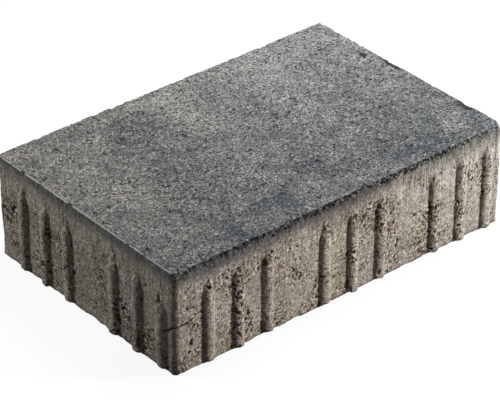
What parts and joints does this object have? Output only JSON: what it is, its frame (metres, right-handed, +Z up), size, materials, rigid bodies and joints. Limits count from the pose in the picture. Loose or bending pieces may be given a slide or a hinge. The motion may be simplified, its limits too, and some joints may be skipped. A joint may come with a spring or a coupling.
{
  "type": "concrete paving stone",
  "caption": "Rectangular pressed concrete paving stone with a dark granular walking face, pale grey-beige sides and upright rounded spacer ribs that interlock with its neighbours.",
  "frame": {"origin": "centre of the bed, the underside that lies on the ground", "axes": "+X along the length, +Y across the width, +Z up towards the walking face"},
  "size_m": [0.299, 0.199, 0.08],
  "materials": {
    "concrete": "rough pressed concrete: dark grey granular face mix on top, open-pored grey-beige backing on the sides"
  },
  "bodies": {
    "root": {"paving_stone": "concrete"}
  },
  "joints": []
}
